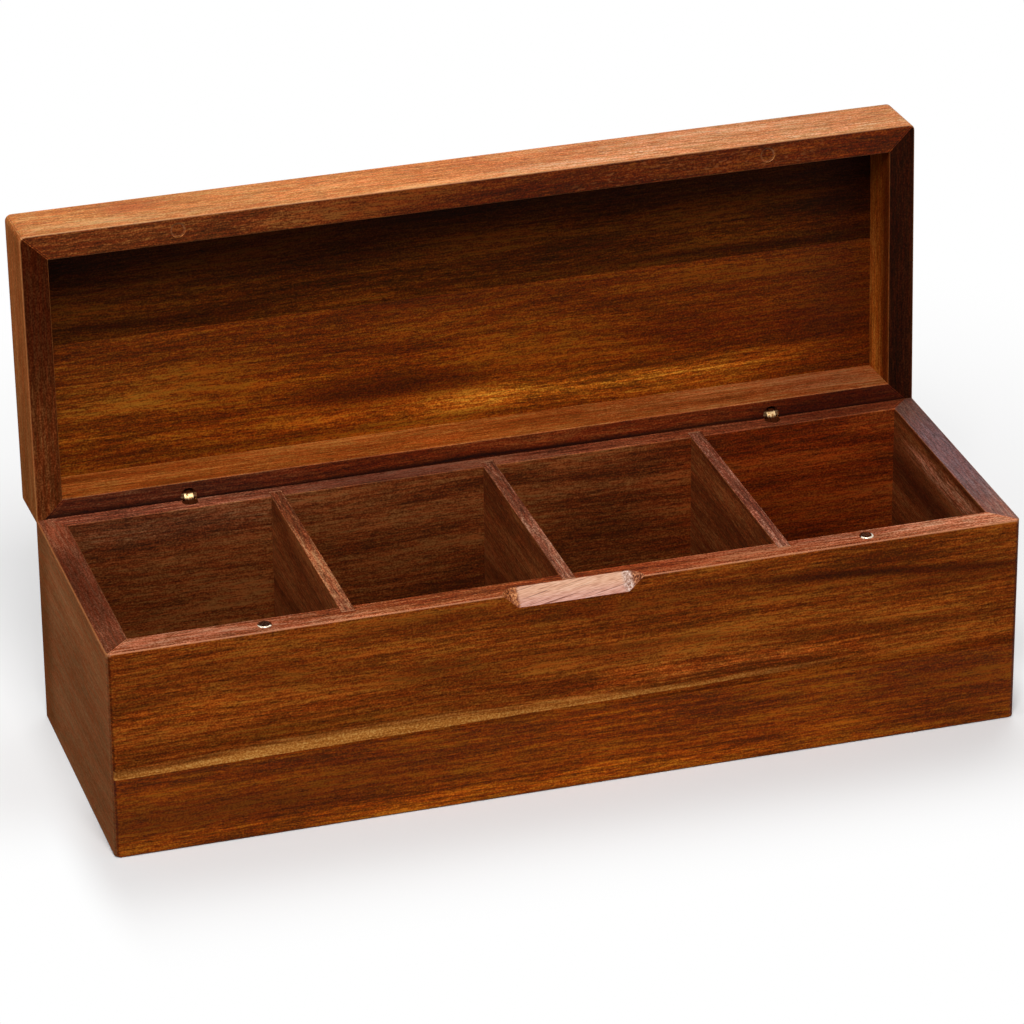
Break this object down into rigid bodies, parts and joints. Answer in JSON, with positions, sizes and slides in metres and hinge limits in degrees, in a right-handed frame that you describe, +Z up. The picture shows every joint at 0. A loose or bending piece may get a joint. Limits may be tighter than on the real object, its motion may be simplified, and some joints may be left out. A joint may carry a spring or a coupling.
{
  "type": "tea bag organizer box",
  "caption": "Long wooden tea box with a row of divided compartments, a framed lid on concealed barrel hinges, a magnetic catch and a finger scoop.",
  "frame": {"origin": "centre of the box's underside", "axes": "+X along the length to the right, -Y towards the front, +Z up; the lid is stored open"},
  "size_m": [0.34, 0.1398, 0.191],
  "materials": {
    "front_wood": "satin oil on a golden brown hardwood",
    "wall_wood": "satin oil on a reddish brown hardwood",
    "divider_wood": "satin oil on a brown hardwood",
    "rail_wood": "satin oil on a reddish brown hardwood",
    "panel_wood": "satin oil on a dark brown hardwood",
    "plug_wood": "satin oil on a brown hardwood",
    "magnet": "nickel plating",
    "hinge_brass": "bright turned brass"
  },
  "bodies": {
    "box": {"front_wall_upper": "front_wood", "front_wall_lower": "front_wood", "back_wall": "wall_wood", "left_wall": "wall_wood", "right_wall": "wall_wood", "bottom_panel": "panel_wood", "divider_left": "divider_wood", "divider_middle": "divider_wood", "divider_right": "divider_wood", "catch_magnet_left": "magnet", "catch_magnet_right": "magnet", "hinge_base_barrel_left": "hinge_brass", "hinge_base_barrel_right": "hinge_brass", "hinge_base_pin_left": "hinge_brass", "hinge_base_pin_right": "hinge_brass"},
    "lid": {"lid_front_rail": "rail_wood", "lid_back_rail": "rail_wood", "lid_left_rail": "rail_wood", "lid_right_rail": "rail_wood", "lid_panel_front": "panel_wood", "lid_panel_back": "panel_wood", "lid_magnet_left": "magnet", "lid_magnet_right": "magnet", "magnet_plug_left": "plug_wood", "magnet_plug_right": "plug_wood", "hinge_lid_barrel_left": "hinge_brass", "hinge_lid_barrel_right": "hinge_brass", "hinge_lid_pin_left": "hinge_brass", "hinge_lid_pin_right": "hinge_brass"},
    "hinge_link_left": {"hinge_links_left": "hinge_brass"},
    "hinge_link_right": {"hinge_links_right": "hinge_brass"}
  },
  "joints": [
    {"name": "lid_hinge", "type": "hinge", "parent": "box", "child": "lid", "pos_m": [0, 0.0536, 0.081], "axis": [1, 0, 0], "range_deg": [0, 92.5]},
    {"name": "left_links_turn", "type": "hinge", "parent": "box", "child": "hinge_link_left", "pos_m": [-0.113, 0.0515, 0.0794], "axis": [1, 0, 0], "range_deg": [0, 46.25]},
    {"name": "right_links_turn", "type": "hinge", "parent": "box", "child": "hinge_link_right", "pos_m": [0.113, 0.0515, 0.0794], "axis": [1, 0, 0], "range_deg": [0, 46.25]}
  ],
  "couplings": [
    {"joint": "left_links_turn", "follows": "lid_hinge", "ratio": 0.5},
    {"joint": "right_links_turn", "follows": "lid_hinge", "ratio": 0.5}
  ]
}
